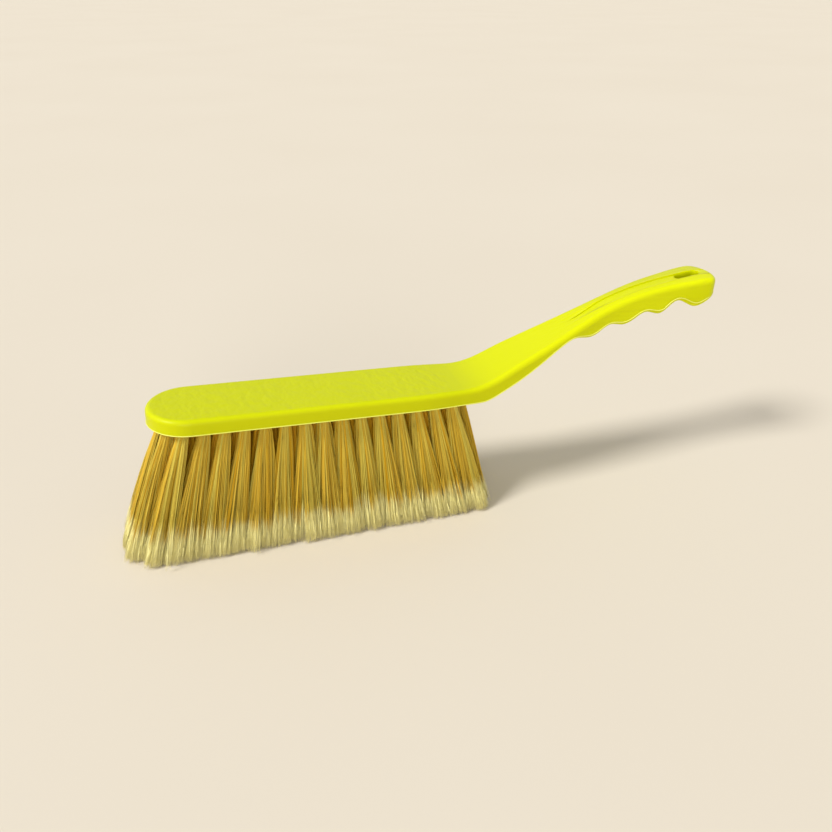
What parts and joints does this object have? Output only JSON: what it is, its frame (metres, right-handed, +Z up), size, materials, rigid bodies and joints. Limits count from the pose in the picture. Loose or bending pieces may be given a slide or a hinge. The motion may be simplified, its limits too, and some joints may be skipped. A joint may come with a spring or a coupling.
{
  "type": "hand broom",
  "caption": "Hand broom: a flat moulded head with a rising, finger-notched handle and hanging slot, set with flared tufts of soft flagged bristles.",
  "frame": {"origin": "bottom centre of the whole broom, in the plane of the bristle tips", "axes": "+Z up from the bristle tips to the head, +X from the toe to the end of the handle, the broom mirrored across Y = 0"},
  "size_m": [0.373, 0.0582, 0.1315],
  "materials": {
    "block_plastic": "lemon yellow-green moulded polypropylene, satin gloss",
    "bristle_filament": "golden polyester filament with pale flagged tips",
    "anchor_wire": "plain flat drawn wire"
  },
  "bodies": {
    "root": {"handle_block": "block_plastic", "tuft_anchors": "anchor_wire", "edge_tuft_01": "bristle_filament", "edge_tuft_02": "bristle_filament", "edge_tuft_03": "bristle_filament", "edge_tuft_04": "bristle_filament", "edge_tuft_05": "bristle_filament", "edge_tuft_06": "bristle_filament", "edge_tuft_07": "bristle_filament", "edge_tuft_08": "bristle_filament", "edge_tuft_09": "bristle_filament", "edge_tuft_10": "bristle_filament", "edge_tuft_11": "bristle_filament", "edge_tuft_12": "bristle_filament", "edge_tuft_13": "bristle_filament", "edge_tuft_14": "bristle_filament", "edge_tuft_15": "bristle_filament", "edge_tuft_16": "bristle_filament", "edge_tuft_17": "bristle_filament", "edge_tuft_18": "bristle_filament", "edge_tuft_19": "bristle_filament", "edge_tuft_20": "bristle_filament", "edge_tuft_21": "bristle_filament", "edge_tuft_22": "bristle_filament", "edge_tuft_23": "bristle_filament", "edge_tuft_24": "bristle_filament", "edge_tuft_25": "bristle_filament", "edge_tuft_26": "bristle_filament", "edge_tuft_27": "bristle_filament", "edge_tuft_28": "bristle_filament", "edge_tuft_29": "bristle_filament", "edge_tuft_30": "bristle_filament", "edge_tuft_31": "bristle_filament", "edge_tuft_32": "bristle_filament", "edge_tuft_33": "bristle_filament", "inner_tuft_01": "bristle_filament", "inner_tuft_02": "bristle_filament", "inner_tuft_03": "bristle_filament", "inner_tuft_04": "bristle_filament", "inner_tuft_05": "bristle_filament", "inner_tuft_06": "bristle_filament", "inner_tuft_07": "bristle_filament", "inner_tuft_08": "bristle_filament", "inner_tuft_09": "bristle_filament", "inner_tuft_10": "bristle_filament", "inner_tuft_11": "bristle_filament", "inner_tuft_12": "bristle_filament", "inner_tuft_13": "bristle_filament", "inner_tuft_14": "bristle_filament", "inner_tuft_15": "bristle_filament", "inner_tuft_16": "bristle_filament", "inner_tuft_17": "bristle_filament", "inner_tuft_18": "bristle_filament", "inner_tuft_19": "bristle_filament", "inner_tuft_20": "bristle_filament", "inner_tuft_21": "bristle_filament", "inner_tuft_22": "bristle_filament", "inner_tuft_23": "bristle_filament", "inner_tuft_24": "bristle_filament"}
  },
  "joints": []
}
